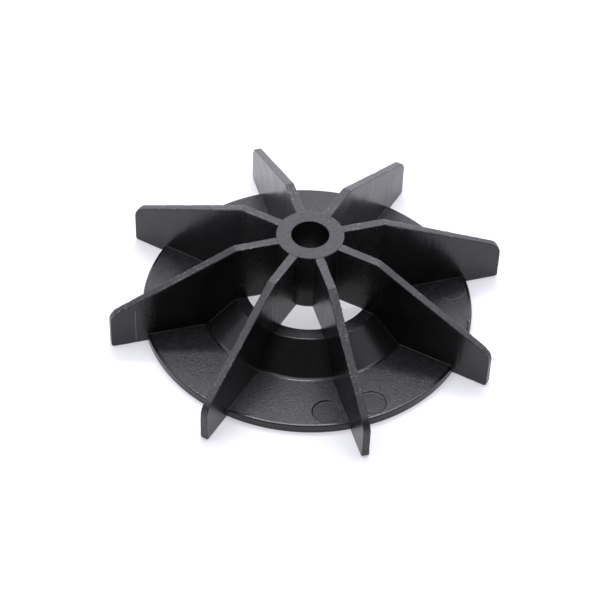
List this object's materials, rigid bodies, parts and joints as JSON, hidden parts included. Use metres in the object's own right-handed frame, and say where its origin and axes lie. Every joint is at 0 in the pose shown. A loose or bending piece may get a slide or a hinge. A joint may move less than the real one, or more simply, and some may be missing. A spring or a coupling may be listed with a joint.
{
  "type": "blower motor wheel",
  "caption": "Radial cooling-fan wheel for a small motor: straight blades stand on a flat disc with a raised conical eye collar and meet at a plain hub with a through bore.",
  "frame": {"origin": "on the axis of rotation, in the plane of the disc's flat back face, which is the face that the wheel lies on", "axes": "+Z along the axis of rotation, from the disc towards the hub's nose; blade_1 points along +X and the blades are numbered counter-clockwise seen from +Z"},
  "size_m": [0.122, 0.122, 0.0312],
  "materials": {
    "moulding": "black moulded plastic, slightly glossy, with fine uneven moulded grain"
  },
  "bodies": {
    "root": {"rim_disc": "moulding", "eye_collar": "moulding", "eye_lip": "moulding", "hub": "moulding", "blade_1": "moulding", "blade_2": "moulding", "blade_3": "moulding", "blade_4": "moulding", "blade_5": "moulding", "blade_6": "moulding", "blade_7": "moulding", "blade_8": "moulding"}
  },
  "joints": []
}
